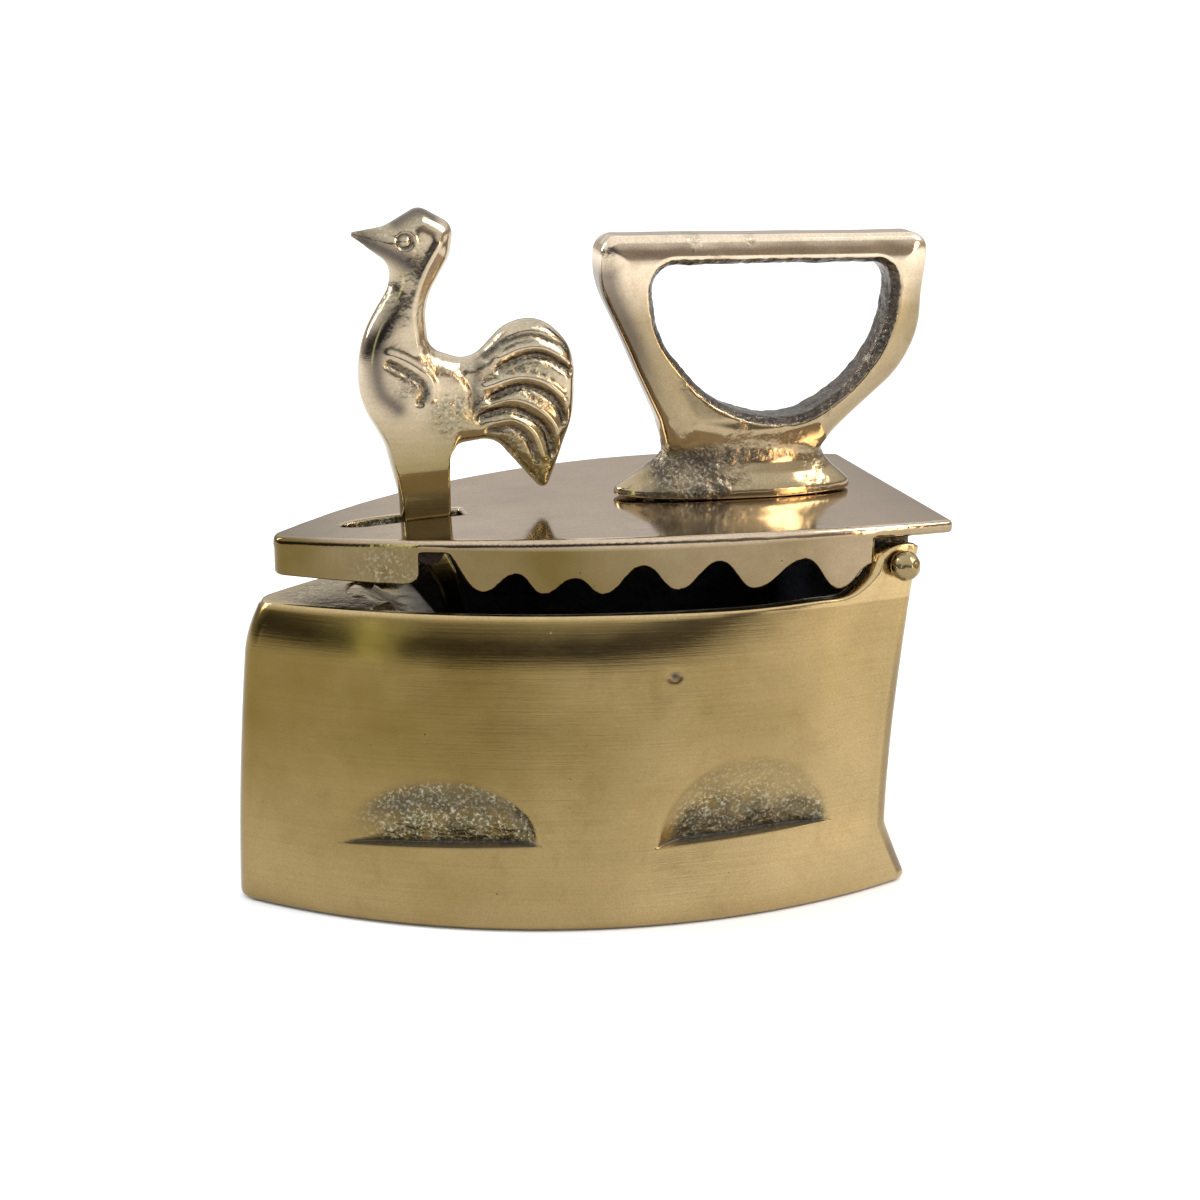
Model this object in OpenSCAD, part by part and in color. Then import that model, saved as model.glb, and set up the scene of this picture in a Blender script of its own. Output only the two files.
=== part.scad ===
// Charcoal iron: a cast brass firebox on a brass sole, with a hinged scalloped lid, a looped
// handle and a rooster-shaped latch. Millimetres. Nose towards -X, heel towards +X, sole at Z 0.

/* [Firebox] */
// Height of the firebox rim above the table
rim_z = 57; // [50:1:62]
// Largest half width of the firebox at the sole
sole_half_w = 37.5; // [34:0.5:40]
// Largest half width of the firebox at the rim
rim_half_w = 33; // [32:0.5:34]
// Thickness of the cast side walls
wall_t = 3.2; // [2.8:0.1:3.6]
// X of the heel face at its narrow waist
waist_x = 49.6; // [49:0.2:51]
// Height of the waist of the heel
waist_z = 13; // [11:0.5:15]
// How far the heel lip flares out below the waist
lip_flare = 5.1; // [3:0.1:6]
// How far the heel face leans out from the waist to the rim
heel_lean = 4.9; // [4:0.1:5.5]
// Radius of the half-moon recesses in the sides
moon_r = 17.2; // [14:0.2:18]
// Height of the flat lower edge of the half-moon recesses
moon_z = 14.6; // [13:0.2:18]

/* [Sole and grate] */
// Thickness of the sole plate
sole_t = 4; // [3:0.5:5]
// Thickness of the flange that the sole plate is riveted to
flange_t = 2.5; // [2:0.5:3]
// Radius of a sole rivet
rivet_r = 1.5; // [1.2:0.1:1.6]
// Height of the grate's upper face
grate_z = 14; // [12:0.5:18]
// Radius of a grate hole
grate_hole_r = 2.3; // [1.5:0.1:2.6]

/* [Lid] */
// Height of the lid's highest line
lid_z = 70.8; // [70.4:0.1:71.2]
// Thickness of the lid plate
lid_t = 2.4; // [2:0.1:2.6]
// Largest half width of the lid
lid_half_w = 31.5; // [31:0.5:32]
// X of the straight rear edge of the lid
lid_rear_x = 63; // [61:0.5:64]
// Radius of the lid's long crown
crown_r = 865; // [800:5:1000]
// Thickness of the scalloped skirt
skirt_t = 1.6; // [1.4:0.1:2]
// Width of the latch slot
slot_w = 4.8; // [4.6:0.1:5.2]

/* [Hinge] */
// X of the hinge pin
hinge_x = 51; // [50.5:0.1:51.5]
// Height of the hinge pin
hinge_z = 62.7; // [62.4:0.1:63]
// Radius of the hinge pin
hinge_pin_r = 1.5; // [1.2:0.1:1.8]
// Radius of the ball ends on the pin
ball_r = 2.8; // [2.4:0.1:3]

/* [Handle] */
// Thickness of the handle loop across the iron
handle_t = 8; // [7:0.5:9]
// Height of the handle above the lid
handle_h = 48.5; // [46:0.5:50]
// Length of the oval handle foot
foot_l = 47; // [44:1:48]
// Width of the oval handle foot
foot_w = 15; // [13:0.5:16]
// Lean of the handle towards the heel, in degrees
handle_lean = 2; // [1:0.1:2.4]

/* [Rooster latch] */
// Thickness of the rooster figure
rooster_t = 6; // [5:0.5:7]
// Thickness of the leg and hook that pass through the slot
leg_t = 4; // [3.6:0.1:4.2]
// X of the latch pivot
latch_x = -30; // [-30.5:0.1:-29.5]
// Height of the latch pivot
latch_z = 65; // [64.8:0.1:65.2]
// Radius of the latch pin
latch_pin_r = 1.25; // [1.1:0.05:1.4]

/* [Hidden] */
$fn = 48;

brass = [0.72, 0.55, 0.27];
dark_brass = [0.55, 0.42, 0.22];
steel = [0.55, 0.55, 0.57];
soot_iron = [0.2, 0.19, 0.18];

run_gap = 0.05;
outline_steps = 24;
corner_steps = 6;
lip_z = 1.5;
seam_gap = 0.05;

// The side of the iron, seen from above, is one long arc that turns into the nose by a small
// arc and into the straight heel by another. xm is where it is widest, wm its half width there.
function arc_points(cx, cy, r, a0, a1, n) = [for (i = [0:n]) let (a = a0 + (a1 - a0) * i / n)
    [cx + r * cos(a), cy + r * sin(a)]];
function nose_centre(xm, wm, r, rn) = xm - sqrt(pow(r - rn, 2) - pow(r - wm, 2));
function half_plan(xm, wm, r, rn, heel, rh) =
    let (xc = nose_centre(xm, wm, r, rn),
        a_nose = atan2(r - wm, xc - xm),
        t_heel = asin((heel - rh - xm) / r),
        x_turn = heel - rh + rh * sin(t_heel),
        a_heel = acos((x_turn - xm) / r))
    concat(
        arc_points(xc, 0, rn, 180, a_nose, corner_steps),
        [for (i = [1:outline_steps - 1]) let (a = a_nose + (a_heel - a_nose) * i / outline_steps)
            [xm + r * cos(a), wm - r + r * sin(a)]],
        arc_points(xm + (r - rh) * cos(a_heel), wm - r + (r - rh) * sin(a_heel), rh, a_heel, 0,
            corner_steps));
function mirrored(half) = concat(half, [for (i = [len(half) - 1:-1:1]) [half[i][0], -half[i][1]]]);
function plan(xm, wm, r, rn, heel, rh) = mirrored(half_plan(xm, wm, r, rn, heel, rh));

// Firebox plan at height z, inset all round by d.
function widest_x(z) = 15 + 13 * z / 57;
function half_w(z) = sole_half_w + (rim_half_w - sole_half_w) * z / 57;
function side_r(z) = 109 + 38 * z / 57;
function heel_x(z) = z >= waist_z ? waist_x + heel_lean * pow((z - waist_z) / 46, 1.6)
    : waist_x + lip_flare * pow((waist_z - max(z, lip_z)) / (waist_z - lip_z), 1.1);
function bottom_round(z) = z >= lip_z ? 0 : lip_z - sqrt(lip_z * lip_z - pow(lip_z - z, 2));
function box_plan(z, d, rn, rh) = plan(widest_x(z), half_w(z) - d, side_r(z) - d, rn,
    heel_x(z) - d, rh);
function lift(ring, z) = [for (p = ring) [p[0], p[1], z]];

// Corners [x, y, radius] of an outline, rounded with tangent arcs.
function unit(v) = v / norm(v);
function corner_arc(a, b, c, r) =
    let (u = unit(a - b), v = unit(c - b), half = acos(u * v) / 2,
        centre = b + unit(u + v) * r / sin(half),
        p0 = b + u * r / tan(half), p1 = b + v * r / tan(half),
        a0 = atan2(p0[1] - centre[1], p0[0] - centre[0]),
        turn = atan2(p1[1] - centre[1], p1[0] - centre[0]) - a0,
        swing = turn > 180 ? turn - 360 : turn < -180 ? turn + 360 : turn)
    [for (i = [0:corner_steps]) centre + r * [cos(a0 + swing * i / corner_steps),
        sin(a0 + swing * i / corner_steps)]];
function rounded(corners) = [for (i = [0:len(corners) - 1])
    let (n = len(corners), a = corners[(i + n - 1) % n], b = corners[i], c = corners[(i + 1) % n])
    each corner_arc([a[0], a[1]], [b[0], b[1]], [c[0], c[1]], b[2])];

// A solid through rings of points that all have the same count.
module stack(rings) {
    m = len(rings[0]);
    k = len(rings);
    sides = [for (j = [0:k - 2], i = [0:m - 1])
        [j * m + i, j * m + (i + 1) % m, (j + 1) * m + (i + 1) % m, (j + 1) * m + i]];
    first_cap = [[for (i = [m - 1:-1:0]) i]];
    last_cap = [[for (i = [0:m - 1]) (k - 1) * m + i]];
    polyhedron([for (r = rings) each r], concat(sides, first_cap, last_cap), convexity = 8);
}

// A cylinder across the iron, centred on the middle plane or from y0 to y1.
module cross_rod(x, z, r, y0, y1) {
    translate([x, y0, z]) rotate([-90, 0, 0]) cylinder(r = r, h = y1 - y0);
}
module across(w) {
    translate([0, w / 2, 0]) rotate([90, 0, 0]) linear_extrude(w) children();
}
module both_sides() {
    children();
    mirror([0, 1, 0]) children();
}

// ---- Firebox ----

box_levels = [0.3, 0.8, 1.5, 4, 8, 12, 13, 18, 27, 36, 45, 54, 60, 66.6];
shelf_end_x = -28;
shelf_top = 53;
shelf_t = 3;
ear_r = 3.5;
sweep_r = 10.5;
sweep_x = 37.5;
ear_in = 27.9;
rear_wall_z = 54.5;
flange_w = 8.6;

module box_outside() {
    stack([for (z = box_levels) lift(box_plan(z, bottom_round(z - 0.3), 4, 2.5), z)]);
}

module box_cavity() {
    stack([for (z = [sole_t + flange_t, waist_z, 30, 48, 70])
        lift(box_plan(z, wall_t, 8, 2.5), z)]);
}

module sole_outline(d) {
    polygon(box_plan(lip_z, d, 4, 2.5));
}

// Everything above the rim line that isn't part of the two hinge ears.
module rim_cut() {
    across(90) difference() {
        translate([-80, rim_z]) square([160, 20]);
        difference() {
            union() {
                translate([sweep_x, rim_z - 1]) square([30, hinge_z - rim_z + 1]);
                translate([hinge_x, hinge_z]) circle(ear_r);
            }
            translate([sweep_x, rim_z + sweep_r]) circle(sweep_r);
            translate([hinge_x, hinge_z]) square([20, 20]);
        }
        translate([hinge_x, hinge_z]) circle(ear_r);
    }
    translate([30, -ear_in, rear_wall_z]) cube([40, 2 * ear_in, 20]);
}

// A vertical-backed cut in the leaning wall: half a disc above a flat lower edge.
module moon(x, y, z, angle) {
    translate([x, y, 0]) rotate([0, 0, angle]) intersection() {
        cross_rod(0, z, moon_r, -12, 0);
        translate([-moon_r, -12, moon_z]) cube([2 * moon_r, 12, 2 * moon_r]);
    }
}

module keeper_shelf() {
    intersection() {
        translate([0, 0, shelf_top - shelf_t]) linear_extrude(shelf_t)
            polygon(box_plan(shelf_top - shelf_t, wall_t / 2, 6, 2.5));
        translate([-70, -20, 0]) cube([70 + shelf_end_x, 40, 60]);
    }
}

module firebox() {
    color(brass) difference() {
        union() {
            difference() {
                box_outside();
                box_cavity();
                rim_cut();
            }
            keeper_shelf();
        }
        translate([0, 0, -1]) linear_extrude(1 + sole_t) sole_outline(1.6);
        translate([0, 0, 1]) linear_extrude(sole_t + flange_t) sole_outline(flange_w);
        both_sides() moon(-31, -23.2, 10.6, -26);
        both_sides() moon(20.8, -34.4, 14.6, 0);
        cross_rod(hinge_x, hinge_z, hinge_pin_r, -40, 40);
        for (i = [0:5]) at_rivet(i) cylinder(r = rivet_r, h = 20);
    }
}

// ---- Sole plate, rivets and grate ----

rivet_x = [-42, 4, 41];
rivet_inset = 6.1;
rivet_head_r = 2.1;
rivet_top = sole_t + flange_t;

function arc_y(x, z) = half_w(z) - side_r(z) + sqrt(pow(side_r(z), 2) - pow(x - widest_x(z), 2));

module at_rivet(i) {
    x = rivet_x[i % 3];
    slope = (x - widest_x(0)) / side_r(0);
    side = i < 3 ? -1 : 1;
    translate([x, side * (arc_y(x, 0) - rivet_inset * sqrt(1 + slope * slope)), 0]) children();
}

module sole_plate() {
    color(brass) difference() {
        linear_extrude(sole_t) sole_outline(1.6 + seam_gap);
        for (i = [0:5]) at_rivet(i) rivet_shank();
    }
}

module rivet_shank() {
    cylinder(r = rivet_r, h = rivet_top);
    cylinder(r1 = rivet_r + 1, r2 = rivet_r, h = 1.2);
}

module sole_rivet(i) {
    color(dark_brass) at_rivet(i) {
        rivet_shank();
        intersection() {
            translate([0, 0, rivet_top - 1.2]) sphere(r = 2.4);
            translate([0, 0, rivet_top]) cylinder(r = rivet_head_r, h = 2);
        }
    }
}

grate_t = 2;
grate_pitch = 8;
grate_leg_r = 2;
grate_legs = [[-38, 0], [38, -20], [38, 20]];

module grate_outline(d) {
    polygon(plan(24, 28.3 - d, 130 - d, 6, 45.5 - d, 3));
}

module grate() {
    color(soot_iron) translate([0, 0, grate_z - grate_t]) linear_extrude(grate_t) difference() {
        grate_outline(0);
        intersection() {
            grate_outline(4.6);
            for (i = [-6:5], j = [-3:3])
                if (abs(j * grate_pitch) < 20 + i * 2)
                    translate([i * grate_pitch + 4 * (abs(j) % 2), j * grate_pitch])
                        circle(grate_hole_r);
        }
    }
}
module grate_leg(i) {
    color(soot_iron) translate([grate_legs[i][0], grate_legs[i][1], sole_t])
        cylinder(r = grate_leg_r, h = grate_z - grate_t - sole_t);
}

// ---- Hinge ----

ear_out = 31.6;
ball_y = 33;
pin_half_l = 33.4;

module hinge_pin() {
    color(steel) cross_rod(hinge_x, hinge_z, hinge_pin_r, -pin_half_l, pin_half_l);
}

module hinge_ball(side) {
    color(brass) translate([hinge_x, side * ball_y, hinge_z]) rotate([-90 * side, 0, 0])
        rotate_extrude() difference() {
            circle(r = ball_r);
            translate([-10, -10]) square([10, 20]);
            translate([-10, -10]) square([20, 10 - ball_y + ear_out]);
            translate([-10, -10]) square([10 + hinge_pin_r, 10 + pin_half_l - ball_y]);
        }
}

// ---- Lid ----

crown_x = 3;
knuckle_r = 3.3;
knuckle_y0 = 22.5;
knuckle_y1 = 27.2;
lug_t = 2.6;
hub_r = 3.4;
slot_x0 = -45;
slot_x1 = -22.7;
// Centre, lowest point and radius of each scallop.
scallops = [[-24.3, 60.9, 5.4], [-14.3, 60.7, 5.4], [-4.1, 60.6, 6.2], [8.9, 61, 7],
    [23, 60.4, 8], [39, 58.8, 8]];

module crown_solid(drop) {
    cross_rod_fine(crown_x, lid_z - crown_r, crown_r - drop);
}
module cross_rod_fine(x, z, r) {
    translate([x, -50, z]) rotate([-90, 0, 0]) cylinder(r = r, h = 100, $fn = 1440);
}

module lid_outline(d) {
    polygon(plan(29, lid_half_w - d, 139 - d, 3, lid_rear_x - d, 1));
}

module skirt_profile() {
    translate([-62, 61.6]) square([27.7, 10]);
    translate([-35, 68.4]) square([35 + 46, 4]);
    for (s = scallops) translate([s[0], s[1] + s[2]]) circle(s[2]);
}

module lid_plate() {
    difference() {
        intersection() {
            translate([0, 0, 60]) linear_extrude(15) lid_outline(0);
            crown_solid(0);
        }
        crown_solid(lid_t);
    }
}

module lid_skirt() {
    intersection() {
        translate([0, 0, 55]) linear_extrude(20) difference() {
            lid_outline(0);
            lid_outline(skirt_t);
            translate([46, -40]) square([30, 80]);
        }
        across(90) skirt_profile();
        crown_solid(lid_t / 2);
    }
}

module knuckle() {
    cross_rod(hinge_x, hinge_z, knuckle_r, knuckle_y0, knuckle_y1);
    translate([hinge_x - knuckle_r, knuckle_y0, hinge_z])
        cube([2 * knuckle_r, knuckle_y1 - knuckle_y0, lid_z - lid_t - hinge_z]);
}

module latch_lug() {
    cross_rod(latch_x, latch_z, hub_r - 0.4, slot_w / 2, slot_w / 2 + lug_t);
    translate([latch_x - hub_r + 0.4, slot_w / 2, latch_z])
        cube([2 * hub_r - 0.8, lug_t, lid_z - lid_t / 2 - latch_z - 0.6]);
}

module lid() {
    color(brass) difference() {
        union() {
            lid_plate();
            lid_skirt();
            intersection() {
                both_sides() knuckle();
                crown_solid(lid_t / 2);
            }
            both_sides() latch_lug();
            at_screws() translate([0, 0, -lid_t - boss_t]) cylinder(r = 5.6, h = boss_t + 1);
        }
        translate([slot_x0, -slot_w / 2, 60]) cube([slot_x1 - slot_x0, slot_w, 15]);
        cross_rod(hinge_x, hinge_z, hinge_pin_r + run_gap, -40, 40);
        cross_rod(latch_x, latch_z, latch_pin_r, -10, 10);
        at_screws() translate([0, 0, -10]) cylinder(r = screw_r + 0.2, h = 20);
    }
}

// ---- Handle and its screws ----

handle_x = 30;
screw_off = 14;
screw_r = 1.5;
boss_t = 1.2;
washer_t = 0.8;
// Corners of the loop, from the lid up, with their rounding radii.
loop_outer = [[-12.8, 8.6, 3], [-28.5, 39.7, 14], [-28.5, handle_h, 4.5], [35.5, handle_h, 4.5],
    [35.5, 25.5, 18], [16.6, 9.6, 3]];
loop_inner = [[-2.5, 13.9, 24], [-18.2, 31, 20], [-18.2, handle_h - 5.5, 4],
    [28.7, handle_h - 5.5, 4], [28.7, 24.5, 24], [12, 14.6, 11]];
// Top, centre, length and width of each step of the foot, the last two as shares of the whole.
foot_levels = [[1.6, 0, 1, 1], [3, 0.2, 0.93, 0.92], [4.6, 0.5, 0.82, 0.84], [6.4, 1, 0.72, 0.76],
    [9, 1.6, 0.65, 0.68], [12.6, 2, 0.6, 0.6]];
foot_z = 0.04;

module on_handle() {
    drop = pow(handle_x - crown_x, 2) / (2 * crown_r);
    translate([handle_x, 0, lid_z - drop]) rotate([0, handle_lean, 0]) children();
}
module at_screw(side) {
    on_handle() translate([side * screw_off, 0, 0]) children();
}
module at_screws() {
    at_screw(-1) children();
    at_screw(1) children();
}

module foot() {
    for (l = foot_levels)
        translate([l[1], 0, foot_z]) linear_extrude(l[0])
            polygon([for (i = [0:47]) [l[2] * foot_l / 2 * cos(7.5 * i), l[3] * foot_w / 2 * sin(7.5 * i)]]);
}

module handle() {
    color(brass) difference() {
        on_handle() {
            foot();
            across(handle_t) difference() {
                polygon(rounded(loop_outer));
                polygon(rounded(loop_inner));
            }
        }
        at_screws() translate([0, 0, -5]) cylinder(r = screw_r, h = 11);
    }
}

module handle_screw(side) {
    color(steel) at_screw(side) {
        translate([0, 0, -lid_t - boss_t - washer_t]) cylinder(r = screw_r, h = 9);
        translate([0, 0, -lid_t - boss_t - washer_t - 2]) difference() {
            cylinder(r = 3.2, h = 2);
            translate([-4, -0.45, -0.1]) cube([8, 0.9, 1.1]);
        }
    }
}

module handle_washer(side) {
    color(steel) at_screw(side) translate([0, 0, -lid_t - boss_t - washer_t]) difference() {
        cylinder(r = 4.4, h = washer_t);
        translate([0, 0, -1]) cylinder(r = screw_r + 0.1, h = 3);
    }
}

// ---- Rooster latch ----

latch_pin_half_l = slot_w / 2 + lug_t + 1.4;
toe_x = -27.05;
// Corners of the figure, clockwise from the front of the leg, with their rounding radii.
figure = [[-35.4, 73.9, 1.2], [-36.6, 84, 14], [-41.2, 92.5, 18], [-40.9, 103, 18],
    [-34.9, 112.5, 6], [-35, 116.4, 4], [-42.6, 122.1, 1], [-36, 123.6, 6], [-28.4, 126.2, 4],
    [-23.4, 122.8, 2.5], [-24.1, 117.5, 5], [-28.9, 109.5, 10], [-28.4, 101, 3], [-20.6, 98.2, 4],
    [-14.5, 104.2, 8], [-8, 106.2, 7], [-1.2, 99.6, 10], [-1.2, 88, 20], [-7, 72.9, 1.2],
    [-16.5, 84, 5], [-24.6, 83, 2.5], [-25.2, 73.9, 1.2]];

// Hook below the hub: it bends to the rear and ends in a toe that points forward.
hook = [[-32.6, 63.2], [-29.9, 61.6], [-27.2, 56.6], [-26, 52], [-26, 49.4], [toe_x, 48.4],
    [toe_x, 47], [-26, 45.6], [-22.6, 45.6], [-22.6, 52], [-24.2, 59.6], [-27.4, 66.4]];

module rooster_latch() {
    color(brass) difference() {
        union() {
            across(rooster_t) polygon(rounded(figure));
            translate([-34.9, -leg_t / 2, latch_z + 2.4]) cube([9.2, leg_t, 8.6]);
            cross_rod(latch_x, latch_z, hub_r, -leg_t / 2, leg_t / 2);
            across(leg_t) polygon(hook);
        }
        cross_rod(latch_x, latch_z, latch_pin_r + run_gap, -10, 10);
    }
}

module latch_pin() {
    color(steel) cross_rod(latch_x, latch_z, latch_pin_r, -latch_pin_half_l, latch_pin_half_l);
}

module latch_washer(side) {
    color(steel) scale_side(side) difference() {
        cross_rod(latch_x, latch_z, 2.5, slot_w / 2 + lug_t, slot_w / 2 + lug_t + 0.8);
        cross_rod(latch_x, latch_z, latch_pin_r, 0, 20);
    }
}
module scale_side(side) {
    if (side > 0) children();
    else mirror([0, 1, 0]) children();
}

firebox();
sole_plate();
for (i = [0:5]) sole_rivet(i);
grate();
for (i = [0:2]) grate_leg(i);
hinge_pin();
hinge_ball(-1);  // hinge_ball_left
hinge_ball(1);  // hinge_ball_right
lid();
handle();
handle_screw(-1);  // handle_screw_front
handle_screw(1);  // handle_screw_rear
handle_washer(-1);  // handle_washer_front
handle_washer(1);  // handle_washer_rear
latch_pin();
latch_washer(-1);  // latch_washer_left
latch_washer(1);  // latch_washer_right
rooster_latch();
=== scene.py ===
"""The looks of a brass charcoal iron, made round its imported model. Lengths are in millimetres
in the modelling code and become metres in make_piece(). Nose towards -X, heel +X, Z up."""

import math
from collections import namedtuple

import bpy
import numpy as np
import openvdb
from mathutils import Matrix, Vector


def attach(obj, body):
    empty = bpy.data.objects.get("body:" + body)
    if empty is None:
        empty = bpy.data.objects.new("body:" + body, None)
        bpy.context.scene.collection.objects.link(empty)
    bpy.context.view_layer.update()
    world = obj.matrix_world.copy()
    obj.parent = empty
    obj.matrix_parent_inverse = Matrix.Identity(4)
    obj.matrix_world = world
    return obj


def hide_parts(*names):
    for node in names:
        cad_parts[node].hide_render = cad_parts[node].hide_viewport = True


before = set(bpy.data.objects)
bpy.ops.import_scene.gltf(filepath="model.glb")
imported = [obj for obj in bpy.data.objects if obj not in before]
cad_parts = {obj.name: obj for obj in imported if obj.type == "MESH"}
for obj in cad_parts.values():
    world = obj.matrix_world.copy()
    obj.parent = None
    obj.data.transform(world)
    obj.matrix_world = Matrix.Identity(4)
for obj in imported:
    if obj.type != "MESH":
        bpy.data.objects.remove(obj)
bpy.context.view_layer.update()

MM = 0.001


# ---- Camera, light and floor ----

def add_object(name, data):
    thing = bpy.data.objects.new(name, data)
    bpy.context.scene.collection.objects.link(thing)
    return thing


def add_camera():
    data = bpy.data.cameras.new("camera")
    data.lens = 75
    data.sensor_width = 36
    data.clip_end = 50
    camera = add_object("camera", data)
    bpy.context.scene.camera = camera
    yaw, pitch = math.radians(17.51), math.radians(16.97)
    forward = Vector((math.sin(yaw) * math.cos(pitch), math.cos(yaw) * math.cos(pitch),
                      -math.sin(pitch)))
    camera.location = Vector((-131.2, -428.1, 188.0)) * MM
    camera.rotation_euler = forward.to_track_quat("-Z", "Y").to_euler()


def add_softbox(name, place, size, power, colour):
    """A rectangular soft light at place, in metres, aimed at the iron."""
    data = bpy.data.lights.new(name, "AREA")
    data.shape = "RECTANGLE"
    data.size, data.size_y = size
    data.energy = power
    data.color = colour
    light = add_object(name, data)
    light.location = place
    light.rotation_euler = (Vector((0, 0, 0.05)) - Vector(place)).to_track_quat("-Z", "Y").to_euler()


def add_floor():
    size = 14
    mesh = bpy.data.meshes.new("floor")
    corners = [(-size, -size, 0), (size, -size, 0), (size, size, 0), (-size, size, 0)]
    mesh.from_pydata(corners, [], [(0, 1, 2, 3)])
    floor = add_object("floor", mesh)
    material = bpy.data.materials.new("floor_pale")
    material.use_nodes = True
    inputs = material.node_tree.nodes["Principled BSDF"].inputs
    inputs["Base Color"].default_value = (0.86, 0.86, 0.86, 1)
    inputs["Roughness"].default_value = 0.7
    mesh.materials.append(material)


# ---- Numeric helpers ----

def ramp(low, high, value):
    """0 at low, 1 at high, with eased ends."""
    t = np.clip((value - low) / (high - low), 0, 1)
    return t * t * (3 - 2 * t)


def lattice_noise(points, wavelength, seed):
    """Smooth random values from -1 to 1 at points, in mm."""
    cells = 64
    table = np.random.default_rng(seed).uniform(-1, 1, (cells, cells, cells)).astype(np.float32)
    place = np.asarray(points, float) / wavelength
    base = np.floor(place).astype(int)
    t = place - base
    t = t * t * (3 - 2 * t)
    total = 0
    for corner in np.ndindex(2, 2, 2):
        cell = (base + corner) % cells
        weight = np.prod(np.where(corner, t, 1 - t), axis=-1)
        total = total + weight * table[cell[..., 0], cell[..., 1], cell[..., 2]]
    return total


def rough_noise(points, wavelength, seed):
    """Three octaves of lattice_noise()."""
    return sum(lattice_noise(points, wavelength / 2 ** k, seed + k) / 2 ** k for k in range(3))


def smooth_min(a, b, k):
    h = np.clip(0.5 + 0.5 * (b - a) / k, 0, 1)
    return b + (a - b) * h - k * h * (1 - h)


def smooth_max(a, b, k):
    return -smooth_min(-a, -b, k)


def away(point, x, z):
    return np.hypot(x - point[0], z - point[1])


def bell(distance, width):
    return np.exp(-(distance / width) ** 2)


def box_distance(x, low, high):
    return np.maximum(low - x, x - high)


def rounded_slab(edge, height, half, soft):
    """Field of a plate whose outline distance is edge and half thickness is half."""
    qx, qz = edge + soft, np.abs(height) - half + soft
    return np.minimum(np.maximum(qx, qz), 0) + np.hypot(np.maximum(qx, 0), np.maximum(qz, 0)) - soft


def rounded_outline(corners, steps):
    """Corners (x, z, radius) joined by straight lines, each corner a tangent arc."""
    points = []
    count = len(corners)
    for i, (x, z, radius) in enumerate(corners):
        b = np.array((x, z), float)
        u = np.array(corners[i - 1][:2], float) - b
        v = np.array(corners[(i + 1) % count][:2], float) - b
        u /= np.linalg.norm(u)
        v /= np.linalg.norm(v)
        half = math.acos(u @ v) / 2
        middle = u + v
        centre = b + middle / np.linalg.norm(middle) * radius / math.sin(half)
        p0 = b + u * radius / math.tan(half) - centre
        p1 = b + v * radius / math.tan(half) - centre
        start = math.atan2(p0[1], p0[0])
        swing = (math.atan2(p1[1], p1[0]) - start + math.pi) % (2 * math.pi) - math.pi
        for k in range(steps + 1):
            angle = start + swing * k / steps
            points.append(centre + radius * np.array((math.cos(angle), math.sin(angle))))
    return np.array(points)


def segment_distance(x, z, a, b):
    """Distance from points to the segment from a to b."""
    ab = b - a
    t = np.clip(((x - a[0]) * ab[0] + (z - a[1]) * ab[1]) / (ab @ ab + 1e-12), 0, 1)
    return np.hypot(x - a[0] - t * ab[0], z - a[1] - t * ab[1])


def outline_distance(outline, x, z):
    """Signed distance to a closed outline, negative inside."""
    distance = np.full(x.shape, 1e9)
    inside = np.zeros(x.shape, bool)
    for a, b in zip(outline, np.roll(outline, -1, axis=0)):
        distance = np.minimum(distance, segment_distance(x, z, a, b))
        if a[1] != b[1]:
            crosses = (a[1] > z) != (b[1] > z)
            inside ^= crosses & (x < (b[0] - a[0]) * (z - a[1]) / (b[1] - a[1]) + a[0])
    return np.where(inside, -distance, distance)


def loop_distance(corners, x, z, steps=10):
    """Signed distance to a rounded outline, negative inside."""
    return outline_distance(rounded_outline(corners, steps), x, z)


def path_distance(path, x, z):
    """Distance to an open line drawn smoothly through its points."""
    path = np.array(path, float)
    s = np.linspace(0, len(path) - 1, 24)
    i = np.clip(s.astype(int), 0, len(path) - 2)
    t = (s - i)[:, None]
    slope = np.gradient(path, axis=0)
    p0, p1, m0, m1 = path[i], path[i + 1], slope[i], slope[i + 1]
    curve = ((2 * t ** 3 - 3 * t ** 2 + 1) * p0 + (t ** 3 - 2 * t ** 2 + t) * m0
             + (3 * t ** 2 - 2 * t ** 3) * p1 + (t ** 3 - t ** 2) * m1)
    return np.minimum.reduce([segment_distance(x, z, a, b) for a, b in zip(curve, curve[1:])])


class Volume:
    """A box of sample points, for a shape given by a field that is negative inside."""

    def __init__(self, low, high, step):
        self.low, self.step = np.array(low, float), step
        self.x, self.y, self.z = np.ix_(*(np.arange(a, b + step, step) for a, b in zip(low, high)))
        self.shape = (self.x.size, self.y.size, self.z.size)

    def plane(self):
        """The x and z sample points as a flat grid."""
        return np.meshgrid(self.x.ravel(), self.z.ravel(), indexing="ij")

    def mesh(self, field):
        """Vertices in mm and quads of the surface where the field is zero."""
        band = 3 * self.step
        field = np.clip(np.broadcast_to(field, self.shape), -band, band)
        field = np.pad(field, 1, constant_values=band)
        grid = openvdb.FloatGrid(band)
        grid.copyFromArray(np.ascontiguousarray(field, np.float32))
        vertices, quads = grid.convertToQuads(0.0)
        return (np.asarray(vertices, float) - 1) * self.step + self.low, np.asarray(quads)


def signed_volume(vertices, faces):
    a = vertices[faces[:, 0]]
    total = 0.0
    for k in range(1, faces.shape[1] - 1):
        total += np.einsum("ij,ij->", a, np.cross(vertices[faces[:, k]], vertices[faces[:, k + 1]]))
    return total / 6


def join_shells(*shells):
    """Several closed shells of quads as one, each facing outwards."""
    vertices, faces, count = [], [], 0
    for v, f in shells:
        if signed_volume(v, f) < 0:
            f = f[:, ::-1]
        vertices.append(v)
        faces.append(f + count)
        count += len(v)
    return np.concatenate(vertices), np.concatenate(faces)


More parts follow.
